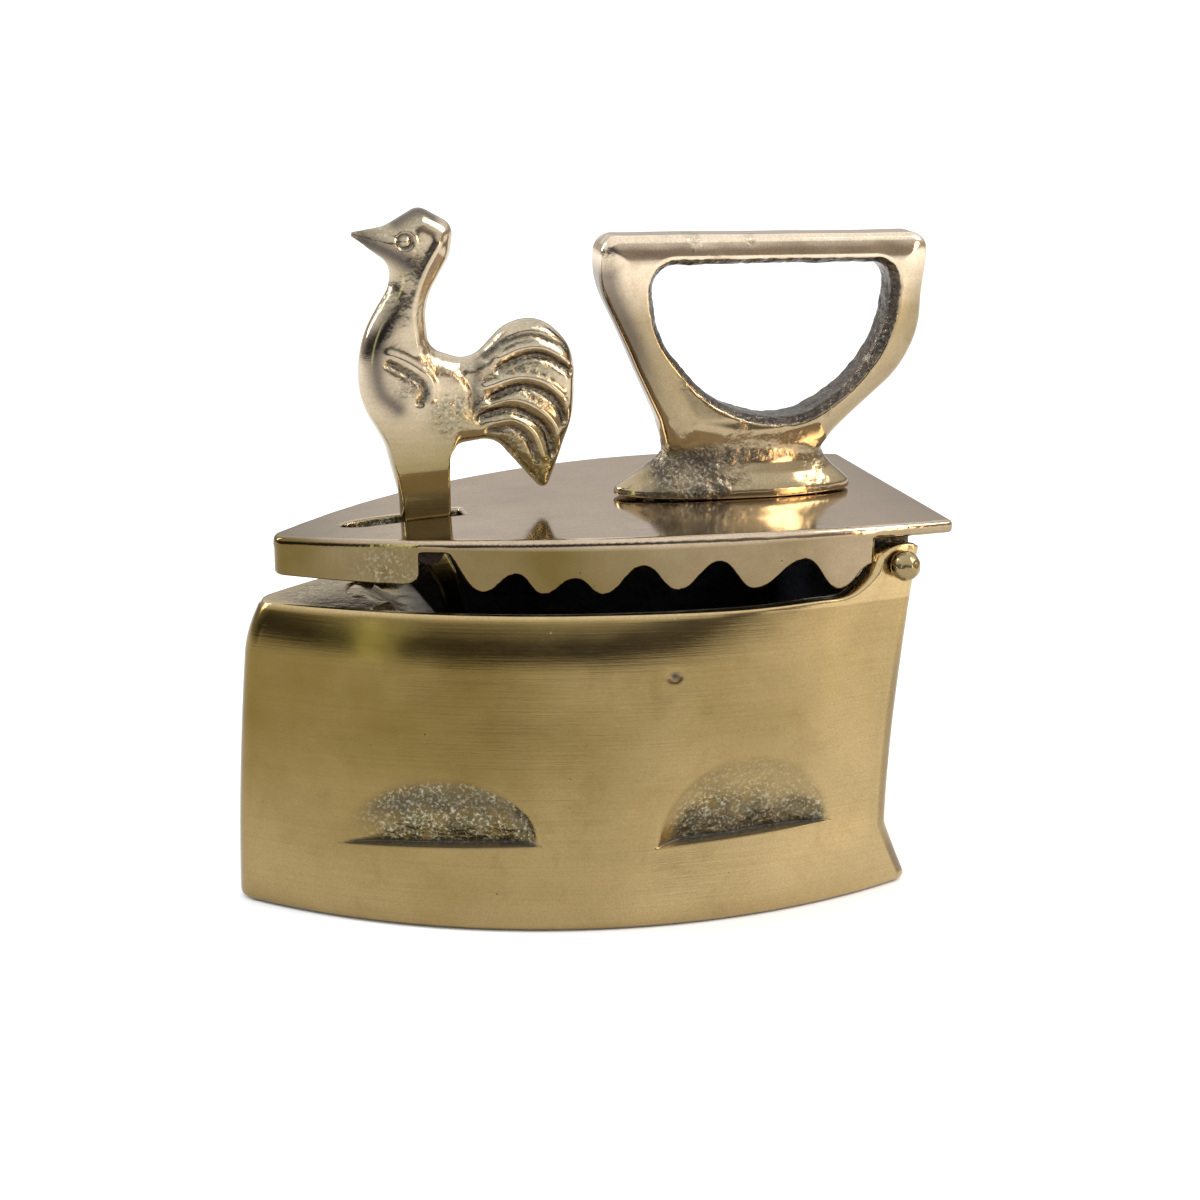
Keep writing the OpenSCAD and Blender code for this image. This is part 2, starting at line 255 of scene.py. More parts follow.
def relaxed(vertices, faces, passes):
    """The vertices after a few passes of averaging with their neighbours, without shrinking."""
    after = np.roll(faces, -1, axis=1)
    a, b = np.concatenate([faces, after]).ravel(), np.concatenate([after, faces]).ravel()
    count = np.bincount(a, minlength=len(vertices))[:, None]
    for factor in (0.5, -0.52) * passes:
        mean = np.stack([np.bincount(a, vertices[b, k], len(vertices)) for k in range(3)], 1)
        vertices = vertices + factor * (mean / count - vertices)
    return vertices


def vertex_normals(vertices, faces):
    normal = np.cross(vertices[faces[:, 2]] - vertices[faces[:, 0]],
                      vertices[faces[:, 3]] - vertices[faces[:, 1]])
    total = np.zeros_like(vertices)
    for k in range(4):
        for axis in range(3):
            total[:, axis] += np.bincount(faces[:, k], normal[:, axis], len(vertices))
    return total / np.maximum(np.linalg.norm(total, axis=1, keepdims=True), 1e-12)


def carved(volume, field, passes):
    """Vertices, quads and normals of the relaxed surface where field(volume) is zero."""
    vertices, faces = join_shells(volume.mesh(field(volume)))
    vertices = relaxed(vertices, faces, passes)
    return vertices, faces, vertex_normals(vertices, faces)


def ring_quads(rows, columns, closed):
    """Quads between rows of vertices that run round. Where closed, the last row meets the first."""
    i, j = np.meshgrid(np.arange(rows if closed else rows - 1), np.arange(columns), indexing="ij")
    i2, j2 = (i + 1) % rows, (j + 1) % columns
    quads = np.stack([i * columns + j, i * columns + j2, i2 * columns + j2, i2 * columns + j], -1)
    return quads.reshape(-1, 4)


def make_piece(name, shell, body, nodes, material, masks=None):
    """A shown piece from a shell of quads in mm. masks are values from 0 to 1 per vertex."""
    vertices, faces = shell
    mesh = bpy.data.meshes.new(name)
    mesh.vertices.add(len(vertices))
    mesh.vertices.foreach_set("co", (vertices * MM).astype(np.float32).ravel())
    mesh.loops.add(faces.size)
    mesh.loops.foreach_set("vertex_index", faces.astype(np.int32).ravel())
    mesh.polygons.add(len(faces))
    mesh.polygons.foreach_set("loop_start", np.arange(0, faces.size, 4, dtype=np.int32))
    mesh.update(calc_edges=True)
    mesh.validate()
    mesh.shade_smooth()
    for key, values in (masks or {}).items():
        attribute = mesh.attributes.new(key, "FLOAT", "POINT")
        attribute.data.foreach_set("value", np.clip(values, 0, 1).astype(np.float32))
    mesh.materials.append(material)
    piece = add_object(name, mesh)
    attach(piece, body)
    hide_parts(*nodes)


# ---- Materials ----

class Graph:
    """A node tree built by short calls that return output sockets."""

    def __init__(self, tree, space):
        self.tree = tree
        self.place = tree.nodes.new("ShaderNodeTexCoord").outputs[space]

    def plug(self, value, socket):
        if isinstance(value, bpy.types.NodeSocket):
            self.tree.links.new(value, socket)
        else:
            socket.default_value = value

    def add(self, kind, **inputs):
        """A new node with the given inputs set or linked."""
        node = self.tree.nodes.new("ShaderNode" + kind)
        for key, value in inputs.items():
            self.plug(value, node.inputs[key])
        return node

    def maths(self, operation, a, b):
        node = self.add("Math")
        node.operation = operation
        self.plug(a, node.inputs[0])
        self.plug(b, node.inputs[1])
        return node.outputs[0]

    def plus(self, a, b):
        return self.maths("ADD", a, b)

    def times(self, a, b):
        return self.maths("MULTIPLY", a, b)

    def mask(self, name):
        node = self.add("Attribute")
        node.attribute_name = name
        return node.outputs["Fac"]

    def stretched(self, scale, turn=(0, 0, 0)):
        return self.add("Mapping", Vector=self.place, Scale=scale, Rotation=turn).outputs[0]

    def noise(self, scale, detail=2.0, place=None, roughness=0.55, distortion=0.0):
        node = self.add("TexNoise", Vector=place or self.place, Scale=scale, Detail=detail,
                        Roughness=roughness, Distortion=distortion)
        return node.outputs["Fac"]

    def cells(self, scale):
        return self.add("TexVoronoi", Vector=self.place, Scale=scale).outputs["Distance"]

    def spread(self, value, low, high, to_low=0.0, to_high=1.0):
        """value from low to high becomes to_low to to_high, clamped."""
        ends = {"From Min": low, "From Max": high, "To Min": to_low, "To Max": to_high}
        return self.add("MapRange", Value=value, **ends).outputs["Result"]

    def along(self, axis):
        return self.add("SeparateXYZ", Vector=self.place).outputs[axis]

    def blend(self, factor, a, b):
        """Colour a where factor is 0, colour b where it is 1."""
        node = self.add("Mix")
        node.data_type = "RGBA"
        colours = [s for s in node.inputs if s.type == "RGBA"]
        self.plug(factor, node.inputs["Factor"])
        for colour, socket in zip((a, b), colours):
            self.plug(colour if isinstance(colour, bpy.types.NodeSocket) else (*colour, 1), socket)
        return next(s for s in node.outputs if s.type == "RGBA")

    def bump(self, height, distance, strength=1.0, below=None):
        node = self.add("Bump", Distance=distance, Strength=strength, Height=height)
        if below:
            self.plug(below, node.inputs["Normal"])
        return node.outputs[0]


class Paint(Graph):
    """One node material."""

    def __init__(self, name):
        self.material = bpy.data.materials.new(name)
        self.material.use_nodes = True
        self.shader = self.material.node_tree.nodes["Principled BSDF"]
        super().__init__(self.material.node_tree, "Object")

    def finish(self, colour, roughness, normal, metallic=1.0):
        for key, value in (("Base Color", colour), ("Roughness", roughness),
                           ("Metallic", metallic), ("Normal", normal)):
            self.plug(value, self.shader.inputs[key])
        return self.material


GOLD = (0.175, 0.120, 0.034)
DEEP_GOLD = (0.12, 0.080, 0.022)
PEACH = (0.58, 0.46, 0.30)
PATINA = (0.075, 0.062, 0.034)
PALE_SKIN = (0.74, 0.70, 0.54)
GREEN_PATINA = (0.11, 0.125, 0.08)
# Black: soot from the fire, also used as painted shade on the firebox's outer wall.
SOOT_AND_SHADE_BLACK = (0.012, 0.014, 0.020)
# Dark brown: painted shade and painted dark reflections, with some tarnish.
SHADE_AND_TARNISH_BROWN = (0.042, 0.034, 0.036)


def casting_skin(paint, tone, skin_tone, grain, lumps):
    """Colour of the rough skin that the sand mould left."""
    skin = paint.blend(paint.spread(lumps, 0.40, 0.62), PATINA, skin_tone)
    skin = paint.blend(paint.spread(paint.noise(300, 2), 0.42, 0.66, 0, 0.8), skin, tone)
    return paint.blend(paint.spread(grain, 0.50, 0.76), skin, PALE_SKIN)


def brass(name, tone=GOLD, warm=PEACH, skin_tone=GREEN_PATINA, lines=(30, 30, 2600),
          painted_light_from=(), gloss=0.2, line_depth=0.000008):
    """Sanded cast brass. The cast mask is rough casting skin. The black mask is soot from the fire,
    and on the firebox's outer wall painted shade in the scoops and down the heel corner. The dark brown
    mask is painted shade and painted dark reflections, with some tarnish on the handle's rough foot.
    lines stretches the sanding marks. The list of (axis, low, high, share) gives the ranges over which
    the tone is painted lighter and warmer, a painted reflection of bright surroundings; the warm colour
    is also used for random pale patches."""
    paint = Paint(name)
    cast, soot_and_shade = paint.mask("cast"), paint.mask("soot_and_shade")
    patches = paint.spread(paint.noise(45, 3), 0.35, 0.68)
    streaks = paint.noise(1.0, 3, paint.stretched(lines), 0.6)
    fine = paint.noise(2.3, 2, paint.stretched(tuple(s * 1.7 for s in lines), (0.06, 0.03, 0)), 0.6)
    dust = paint.noise(2900, 3, roughness=0.6)
    grain = paint.noise(1500, 4, roughness=0.65)
    lumps = paint.noise(430, 2)
    smudge = paint.spread(paint.noise(140, 4, distortion=0.6), 0.52, 0.75)
    speck = paint.spread(paint.cells(160), 0.035, 0.012)
    patches_and_painted_light = paint.times(patches, 0.18 if painted_light_from else 0.6)
    # Painted light: along each listed axis the tone is painted lighter and warmer, a painted reflection of
    # bright surroundings; the random patches are the metal's own tone.
    for axis, low, high, share in painted_light_from:
        patches_and_painted_light = paint.plus(patches_and_painted_light, paint.spread(paint.along(axis), low, high, 0, share))
    colour = paint.blend(paint.spread(patches_and_painted_light, 0, 1), tone, warm)
    skin = casting_skin(paint, tone, skin_tone, grain, lumps)
    # The dark brown layer is painted shade and painted dark reflections with some tarnish; the black layer
    # is soot, and painted shade on the firebox's outer wall.
    for share, layer in ((paint.spread(streaks, 0.35, 0.75, 0.0, 0.14), DEEP_GOLD),
                         (paint.spread(dust, 0.35, 0.65, 0.0, 0.22), DEEP_GOLD),
                         (paint.times(smudge, 0.16), DEEP_GOLD), (paint.times(speck, 0.8), PATINA),
                         (paint.times(cast, 0.85), skin), (paint.mask("shade_and_tarnish"), SHADE_AND_TARNISH_BROWN),
                         (soot_and_shade, SOOT_AND_SHADE_BLACK)):
        colour = paint.blend(share, colour, layer)
    rough = paint.spread(streaks, 0.25, 0.8, gloss, gloss + 0.06)
    for layer, share in ((smudge, 0.06), (cast, 0.1), (soot_and_shade, 0.35)):
        rough = paint.plus(rough, paint.times(layer, share))
    polish = paint.maths("SUBTRACT", 1.0, paint.times(cast, 0.8))
    normal = None
    for height, depth, share in ((streaks, line_depth, polish), (fine, line_depth * 0.6, polish),
                                 (speck, -0.00012, 1.0), (grain, 0.00016, cast), (lumps, 0.0006, cast)):
        normal = paint.bump(height, depth, share, normal)
    metallic = paint.maths("SUBTRACT", 1.0, paint.times(soot_and_shade, 0.75))
    return paint.finish(colour, rough, normal, metallic)


def steel(name):
    """Turned mild steel with a little brown oxide."""
    paint = Paint(name)
    rings = paint.noise(1.0, 3, paint.stretched((900, 2600, 900)))
    rust = paint.spread(paint.noise(420, 4, distortion=0.4), 0.5, 0.72)
    colour = paint.blend(rings, (0.40, 0.39, 0.38), (0.55, 0.54, 0.52))
    colour = paint.blend(rust, colour, (0.16, 0.085, 0.045))
    rough = paint.spread(rust, 0, 1, 0.27, 0.62)
    normal = paint.bump(rings, 0.00002)
    normal = paint.bump(rust, 0.00006, 0.7, normal)
    return paint.finish(colour, rough, normal, paint.spread(rust, 0, 1, 1.0, 0.35))


def scaled_iron(name):
    """Cast iron that has been in the fire: scale, ash and orange rust."""
    paint = Paint(name)
    grain = paint.noise(900, 5, roughness=0.7)
    scale = paint.spread(paint.noise(160, 4, distortion=0.8), 0.45, 0.62)
    ash = paint.spread(paint.noise(260, 3), 0.58, 0.72)
    colour = paint.blend(scale, (0.035, 0.033, 0.034), (0.10, 0.055, 0.035))
    colour = paint.blend(paint.times(ash, 0.6), colour, (0.22, 0.21, 0.20))
    normal = paint.bump(grain, 0.0005, 0.9)
    normal = paint.bump(scale, 0.0003, 0.8, normal)
    return paint.finish(colour, paint.spread(grain, 0.3, 0.7, 0.55, 0.85), normal, 0.45)


# ---- Firebox ----

RIM_Z = 57.0
WALL_T = 3.2
WAIST_X, WAIST_Z = 49.6, 13.0
LIP_Z = 1.5
PLATE_Z, FLANGE_Z = 4.0, 6.5
HINGE = (51.0, 62.7)
# The rim's sweep up to the ears: its start, length and radius, and where the ears begin.
SWEEP_X, SWEEP_RUN, SWEEP_R, EARS_X = 37.5, 9.1, 10.5, 46.6
EAR_HALF, EAR_RISE = 4.5, 3.3
BACK_Z = 54.5  # The rim between the ears.
DISH, DISH_HALF = (21, 15), (25, 20.5)  # The shallow dish in the sides.
FOLD_X = 44  # The upright fold before the heel.
PIT = (7.5, 46)
INNER_NOSE_R, RIM_NOSE_R = 8.0, 7.5
SPLIT_Z = 48.0  # Above it the rows spread to meet the rim's changing height.
NOSE_R, HEEL_R = 4.0, 2.5
LEDGE_Z = 15.0
EDGE_R = 0.7
NOSE_LIP = 5.3  # How much thicker the rim is at the nose.
SHELF_X, SHELF_Z = (-58.5, -28), (50, 53)
# Rows as (height, inset) round the foot's lower edge, and as (drop from the top, inset) round
# the rim's outer and inner edges.
FOOT_EDGE = ((0.1, 1.15), (0.2, 0.8), (0.45, 0.42), (0.8, 0.17), (1.2, 0.04), (1.7, 0.0))
OUTER_EDGE = ((0.55, 0.0), (0.3, 0.04), (0.12, 0.16), (0.02, 0.4), (0.0, EDGE_R))
INNER_EDGE = ((0.0, EDGE_R), (0.05, 0.35), (0.25, 0.1), (0.7, 0.0))
# Rows as (height, inset, nose radius) over the flange and round the seat of the sole plate.
FLANGE_ROWS = ((FLANGE_Z + 0.2, 3.5, 8.0), (FLANGE_Z, 4.0, 7.0), (FLANGE_Z, 5.5, 6.0),
               (FLANGE_Z, 7.6, 4.4), (FLANGE_Z - 0.3, 8.0, 4.0), (PLATE_Z + 0.3, 8.0, 4.0),
               (PLATE_Z + 0.02, 7.6, 4.0), (PLATE_Z + 0.02, 1.9, 4.0), (PLATE_Z, 1.6, 4.0),
               (0.3, 1.6, 4.0), (0.1, 1.5, 4.0))


def widest_x(z):
    """Where along the iron its sides are furthest apart."""
    return 15 + 13 * z / RIM_Z


def half_width(z):
    return 37.5 - 4.5 * z / RIM_Z


def side_radius(z):
    """Radius of the long side arcs, seen from above."""
    return 109 + 38 * z / RIM_Z


def heel_x(z):
    """The heel wall, drawn in at a waist."""
    above = 4.9 * (np.maximum(z - WAIST_Z, 0) / 46) ** 1.6
    below = 5.1 * (np.maximum(WAIST_Z - np.maximum(z, LIP_Z), 0) / (WAIST_Z - LIP_Z)) ** 1.1
    return WAIST_X + above + below


class Plan:
    """The iron seen from above, as columns round it: nose arc, long side arc, heel corner and
    straight heel, then the same mirrored. At each call a column has its own height and inset."""

    COUNTS = (16, 250, 12, 70)

    def __init__(self):
        half_part = np.append(np.repeat(range(4), self.COUNTS), 3)
        half_share = np.append(np.concatenate([np.arange(n) / n for n in self.COUNTS]), 1.0)
        self.part = np.concatenate([half_part, half_part[-2:0:-1]])
        self.share = np.concatenate([half_share, half_share[-2:0:-1]])
        self.side = np.where(np.arange(len(self.part)) < len(half_part), 1.0, -1.0)
        # Columns crowd where the heel wall steps down between the ears.
        s = self.share
        self.share = np.where(self.part == 3, 0.5 * s ** 1.6 + 0.5 * s, s)

    def at(self, z, inset, nose_r):
        xm, wm = widest_x(z), half_width(z) - inset
        r, heel = side_radius(z) - inset, heel_x(z) - inset
        xc = xm - np.sqrt((r - nose_r) ** 2 - (r - wm) ** 2)
        a_nose = np.arctan2(r - wm, xc - xm)
        t_heel = np.arcsin((heel - HEEL_R - xm) / r)
        a_heel = np.arccos((heel - HEEL_R + HEEL_R * np.sin(t_heel) - xm) / r)
        corner_x = xm + (r - HEEL_R) * np.cos(a_heel)
        corner_y = wm - r + (r - HEEL_R) * np.sin(a_heel)
        s = self.share
        nose_a = np.pi + (a_nose - np.pi) * s
        side_a = a_nose + (a_heel - a_nose) * s
        turn_a = a_heel * (1 - s)
        x = np.choose(self.part, [xc + nose_r * np.cos(nose_a), xm + r * np.cos(side_a),
                                  corner_x + HEEL_R * np.cos(turn_a), corner_x + HEEL_R])
        y = np.choose(self.part, [nose_r * np.sin(nose_a), wm - r + r * np.sin(side_a),
                                  corner_y + HEEL_R * np.sin(turn_a), corner_y * (1 - s)])
        return x, y * self.side


def rim_height(x, y):
    """Level along the sides, swept up into the two hinge ears, low between them."""
    run = np.clip(x - SWEEP_X, 0, SWEEP_RUN)
    sweep = RIM_Z + SWEEP_R - np.sqrt(np.maximum(SWEEP_R ** 2 - run ** 2, 0))
    ear = HINGE[1] + EAR_RISE * np.sqrt(np.maximum(1 - ((x - HINGE[0]) / EAR_HALF) ** 2, 0))
    z = np.where(x < EARS_X, sweep, np.maximum(ear, sweep))
    z = z + 0.45 * ramp(20, 37, x) * (1 - ramp(37, 43, x))
    behind = ramp(27.5, 26.4, np.abs(y)) * (x > 45)
    return z + (BACK_Z - z) * behind


def dig(moon, x, above):
    """Depth of a scoop, and 0 to 1 how rough it is and how much painted shade it gets: a painted shadow
    line along its ledge and a painted dark band across it. above is the height over its ledge. Its two ends
    are polished."""
    s = np.clip((2 * x - moon.x0 - moon.x1) / (moon.x1 - moon.x0), -1, 1)
    dome = moon.height * (1 - np.abs(s) ** 2.1) ** moon.power + 1e-3
    t = np.clip(above / dome, 0, 1)
    ledge = ramp(0.0, 0.22, above) * (np.abs(s) < 1)
    depth = moon.depth * (1 - np.abs(s) ** 5) * (1 - t) ** moon.steep * ledge
    worn = ramp(-0.95, -0.55, s) * ramp(1.0, 0.9, s)
    inside = ledge * worn * (moon.upper + (1 - moon.upper) * ramp(0.75, 0.35, t))
    inside = inside * ramp(1.0, 0.86, t)
    # Painted shade: a painted shadow line along the ledge, then a painted dark band across the scoop at
    # dark_at.
    painted_wall_shade = 0.8 * bell(above - 0.3, 0.3) * ramp(1.0, 0.9, np.abs(s))
    painted_wall_shade = painted_wall_shade + moon.dark * bell(t - moon.dark_at, 0.2) * worn * ledge
    return depth, inside, painted_wall_shade


# A half-moon scoop from x0 to x1, flat below and domed above.
# dark is the strength of a painted shade band across the scoop, and dark_at its height as a share of the
# dome.
Moon = namedtuple("Moon", "x0 x1 height depth power steep upper dark dark_at")
FRONT_MOON = Moon(-49.9, -17.2, height=12.6, depth=2.8, power=0.55, steep=0.62, upper=0.9,
                  dark=0.35, dark_at=0.68)
REAR_MOON = Moon(3.6, 37.8, height=15.2, depth=3.0, power=0.6, steep=0.9, upper=0.25,
                 dark=0.35, dark_at=0.22)


def ledge_height(x):
    """Height of the scoops' lower edges; both tilt a little."""
    return np.interp(x, [-50, -17, 3.6, 37.8], [14.4, 15.9, 14.5, 15.7])


def wall_relief(x, z, side_part):
    """How far the outer side is pushed in, how rough it is there, and how much painted shade it gets."""
    above = z - ledge_height(x)
    depth, rough, painted_wall_shade = 0.0, 0.0, 0.0
    for moon in (FRONT_MOON, REAR_MOON):
        d, r, g = dig(moon, x, above)
        depth, rough, painted_wall_shade = depth + d, np.maximum(rough, r), painted_wall_shade + g
    reach = np.sqrt(((x - DISH[0]) / DISH_HALF[0]) ** 2 + ((z - DISH[1]) / DISH_HALF[1]) ** 2)
    dish = 0.9 * ramp(1.0, 0.45, reach) * ramp(0, 19, z)
    fold = 0.75 * bell(x - FOLD_X, 5.5) * ramp(6, 20, z) * ramp(62, 46, z)
    return (depth + dish + fold) * side_part, rough * side_part, painted_wall_shade * side_part


def outer_levels():
    """Heights of the rows up the outer wall, crowded at the scoops' ledge."""
    low = np.linspace(2.4, LEDGE_Z - 1.2, 24)
    near = LEDGE_Z + np.array([-0.8, -0.45, -0.2, -0.05, 0.0, 0.05, 0.1, 0.15, 0.22, 0.35, 0.6, 0.95])
    high = np.linspace(LEDGE_Z + 1.4, RIM_Z - 0.9, 88)
    return np.concatenate([low, near, high])


def lean(x, level):
    """How far the wall's top leans in, more towards the nose."""
    return 0.0145 * max(level - 47, 0) ** 2 * (0.15 + 0.85 * ramp(34, -8, x))


class Wall(Plan):
    """The firebox casting as closed rows of columns: up the outer wall, over the rim, down the
    inner wall, over the flange and round the seat of the sole plate."""

    def __init__(self):
        super().__init__()
        self.rows, self.rough, self.soot_and_shade = [], [], []
        on_side = ramp(0, 0.02, self.share) * ramp(1, 0.985, self.share)
        self.on_side = np.where(self.part == 1, on_side, 0.0)
        x_rim, y_rim = self.at(self.flat(RIM_Z), 0.0, NOSE_R)
        self.top = rim_height(x_rim, y_rim)
        self.edge = lean(x_rim, RIM_Z) * (self.part < 2)
        self.nose = ramp(-50, -58, x_rim)
        self.lip_t = WALL_T + NOSE_LIP * self.nose

    def flat(self, z):
        return np.full(len(self.part), z)

    def stretched(self, z):
        lift = (self.top - SPLIT_Z) / (RIM_Z - SPLIT_Z)
        return np.where(z < SPLIT_Z, z, SPLIT_Z + (z - SPLIT_Z) * lift)

    def add_row(self, z, inset, nose_r, rough=0.0, soot_and_shade=0.0):
        x, y = self.at(z, inset, nose_r)
        self.rows.append(np.stack([x, y, z], 1))
        self.rough.append(rough + 0 * x)
        self.soot_and_shade.append(soot_and_shade + 0 * x)

    def outer_row(self, level):
        """One row of the outer wall, bent so that the rows near the scoops follow their ledge."""
        x, _ = self.at(self.flat(level), 0.0, NOSE_R)
        pull = np.clip(1 - np.abs(level - LEDGE_Z) / np.where(level < LEDGE_Z, 11.0, 24.0), 0, 1)
        z = self.stretched(level + (ledge_height(x) - LEDGE_Z) * pull)
        depth, inside, painted_wall_shade = wall_relief(x, z, self.on_side)
        points = np.stack([x, self.side * 30, z], 1)
        scrape = 0.5 * rough_noise(points, 4, 13) * (depth > 0.3)
        inside = np.clip(inside * (1 + scrape), 0, 1)
        lumps = 0.16 * rough_noise(points, 2.1, 11) + 0.3 * lattice_noise(points, 5, 12)
        depth = depth + inside * lumps
        # Painted shade: a small pit is painted dark, and so is a strip down the heel corner that fades
        # towards the rim and darkens again at the foot; these join the scoops' painted shade in the black
        # mask.
        pit = np.exp(-((x - PIT[0]) / 0.8) ** 2 - ((z - PIT[1]) / 0.6) ** 2)
        pit = pit * (self.side < 0) * self.on_side
        corner = (0.5 * ramp(56, 40, z) + 0.4 * ramp(12, 7, z)) * (self.part == 2)
        depth, painted_wall_shade = depth + 0.6 * pit, np.maximum.reduce([painted_wall_shade, pit, 0.7 * corner])
        waves = 0.07 * lattice_noise(points, 13, 5) + 0.03 * lattice_noise(points, 5, 6)
        calm = ramp(0.0, 4.0, level) * (self.part > 0)
        inset = depth + waves * calm + lean(x, level) * (self.part < 2)
        self.add_row(z, inset, NOSE_R, inside, painted_wall_shade)

    def add_rim(self):
        for drop, inset in OUTER_EDGE:
            self.add_row(self.top - drop, self.edge + inset, NOSE_R)
        width = self.lip_t - 2 * EDGE_R - self.edge
        for share in (0.3, 0.5, 0.7):
            self.add_row(self.top, self.edge + EDGE_R + width * share, NOSE_R + 3 * share,
                         0.1 + 0.5 * self.nose)
        for drop, inset in INNER_EDGE:
            self.add_row(self.top - drop, self.lip_t - inset, RIM_NOSE_R, 0.3, 0.1)

    def inner_row(self, level):
        """One row of the inner wall, which follows the outer relief and is black with soot."""
        z = self.stretched(self.flat(level))
        x, y = self.at(z, WALL_T, INNER_NOSE_R)
        points = np.stack([x, y, z], 1)
        lip = (self.lip_t - WALL_T) * ramp(40, 56, level)
        inset = WALL_T + lip + wall_relief(x, z, self.on_side)[0]
        lumps = 0.28 * rough_noise(points, 3.5, 21) * ramp(RIM_Z, RIM_Z - 4, level)
        black = ramp(RIM_Z - 0.5, RIM_Z - 5, level) * ramp(-38, -28, x)
        self.add_row(z, inset + lumps * 0.6, INNER_NOSE_R, 1.0, 0.15 + 0.85 * black)

    def shell(self):
        """Vertices, quads, and the masks for rough skin and for black: soot inside and painted shade on the
        outer wall.
        """
        for z, inset in FOOT_EDGE:
            self.add_row(self.flat(z), inset, NOSE_R)
        for level in outer_levels():
            self.outer_row(level)
        self.add_rim()
        for level in np.linspace(RIM_Z - 1.6, FLANGE_Z + 0.8, 64):
            self.inner_row(level)
        for z, inset, nose_r in FLANGE_ROWS:
            self.add_row(self.flat(z), inset, nose_r, 0.7, 1.0 if z > PLATE_Z else 0.3)
        faces = ring_quads(len(self.rows), len(self.top), True)
        return (np.concatenate(self.rows), faces, np.concatenate(self.rough),
                np.concatenate(self.soot_and_shade))


def shelf_shell():
    """The keeper shelf behind the nose, let into the walls, with a rough cast top."""
    x, v = np.meshgrid(np.linspace(*SHELF_X, 100), np.linspace(-1, 1, 90), indexing="ij")
    low, high = SHELF_Z
    z_mid = (low + high) / 2
    let_in = WALL_T - 0.6
    r = side_radius(z_mid) - let_in
    room = half_width(z_mid) - let_in - r + np.sqrt(np.maximum(r * r - (x - widest_x(z_mid)) ** 2, 0))
    y = v * np.clip(room, 1.0, 19.5)
    round_off = 1.2 * ramp(-29.6, -28, x) ** 2
    flat = np.stack([x, y, 0 * x], -1)
    rise = 3.55 * np.maximum(ramp(-33, -42, x), bell(room - np.abs(y), 5))
    top = high - round_off + 0.12 * rough_noise(flat, 3.0, 31) + rise * ramp(-28.5, -32, x)
    bottom = low + round_off + 0.25 * rough_noise(flat, 3.0, 37)
    vertices = np.concatenate([np.stack([x, y, h], -1).reshape(-1, 3) for h in (top, bottom)])
    index = np.arange(x.size).reshape(x.shape)
    quads = np.stack([index[:-1, :-1], index[1:, :-1], index[1:, 1:], index[:-1, 1:]], -1).reshape(-1, 4)
    edge = np.concatenate([index[:-1, 0], index[-1, :-1], index[:0:-1, -1], index[0, :0:-1]])
    after = np.roll(edge, -1)
    walls = np.stack([edge, edge + x.size, after + x.size, after], 1)
    return vertices, np.concatenate([quads, quads[:, ::-1] + x.size, walls])


def add_firebox():
    vertices, faces, rough, soot_and_shade = Wall().shell()
    shelf = shelf_shell()
    shell = join_shells((vertices, faces), shelf)
    shelf_soot = 0.6 * ramp(-36, -28, shelf[0][:, 0])
    masks = {"cast": np.concatenate([rough, np.full(len(shelf[0]), 0.2)]),
             "soot_and_shade": np.concatenate([soot_and_shade, shelf_soot])}
    # Painted light: the tone is painted lighter and warmer towards the heel, towards the foot and on the
    # rim's top, a painted reflection of the bright right-hand side, floor and ceiling.
    painted_light_from = (("X", -0.030, 0.056, 0.62), ("Z", 0.036, 0.004, 0.36), ("Z", 0.0560, 0.0566, 0.75))
    material = brass("firebox_brass", tone=(0.150, 0.100, 0.024), warm=(0.50, 0.375, 0.19),
                     skin_tone=(0.12, 0.105, 0.055), painted_light_from=painted_light_from, gloss=0.14,
                     line_depth=0.000012)
    make_piece("firebox_casting", shell, "base", ["firebox"], material, masks)


# ---- Lid ----

LID_Z, LID_T, SKIRT_T = 70.8, 2.4, 1.6
CROWN_X, CROWN_R = 3.0, 865.0
# Turning points of the skirt's wavy lower edge, from the notch behind the nose to the heel.
WAVE = ((-31.5, 68.9), (-24.3, 60.9), (-18.6, 64.4), (-14.3, 60.7), (-8.8, 63.6), (-4.1, 60.6),
        (2.8, 65.7), (8.9, 61.0), (16.4, 65.9), (22.8, 60.4), (32.4, 65.1), (39.2, 58.7), (46.3, 62.9))
NOTCH_X, NOTCH_TOP, SKIRT_END = (-37, -30), 68.6, 46.2
NOSE_SKIRT = ((-66, 61.6, 1), (-66, 72, 1), (-34.6, 72, 1), (-34.4, 61.8, 2.4))
SLOT = (-45.0, -22.7, 2.4)
LATCH = (-30.0, 65.0)
KNUCKLE_R, KNUCKLE_Y, PIN_HOLE_R = 3.3, (22.5, 27.2), 1.55
LUG_R, LUG_Y = 3.0, (2.4, 5.0)
BOSS_R, BOSS_HALF = 5.6, 1.2
HANDLE_X, LEAN, SCREW_OFF = 30.0, math.radians(2), 14.0


def lid_top(x):
    return LID_Z - (x - CROWN_X) ** 2 / (2 * CROWN_R)


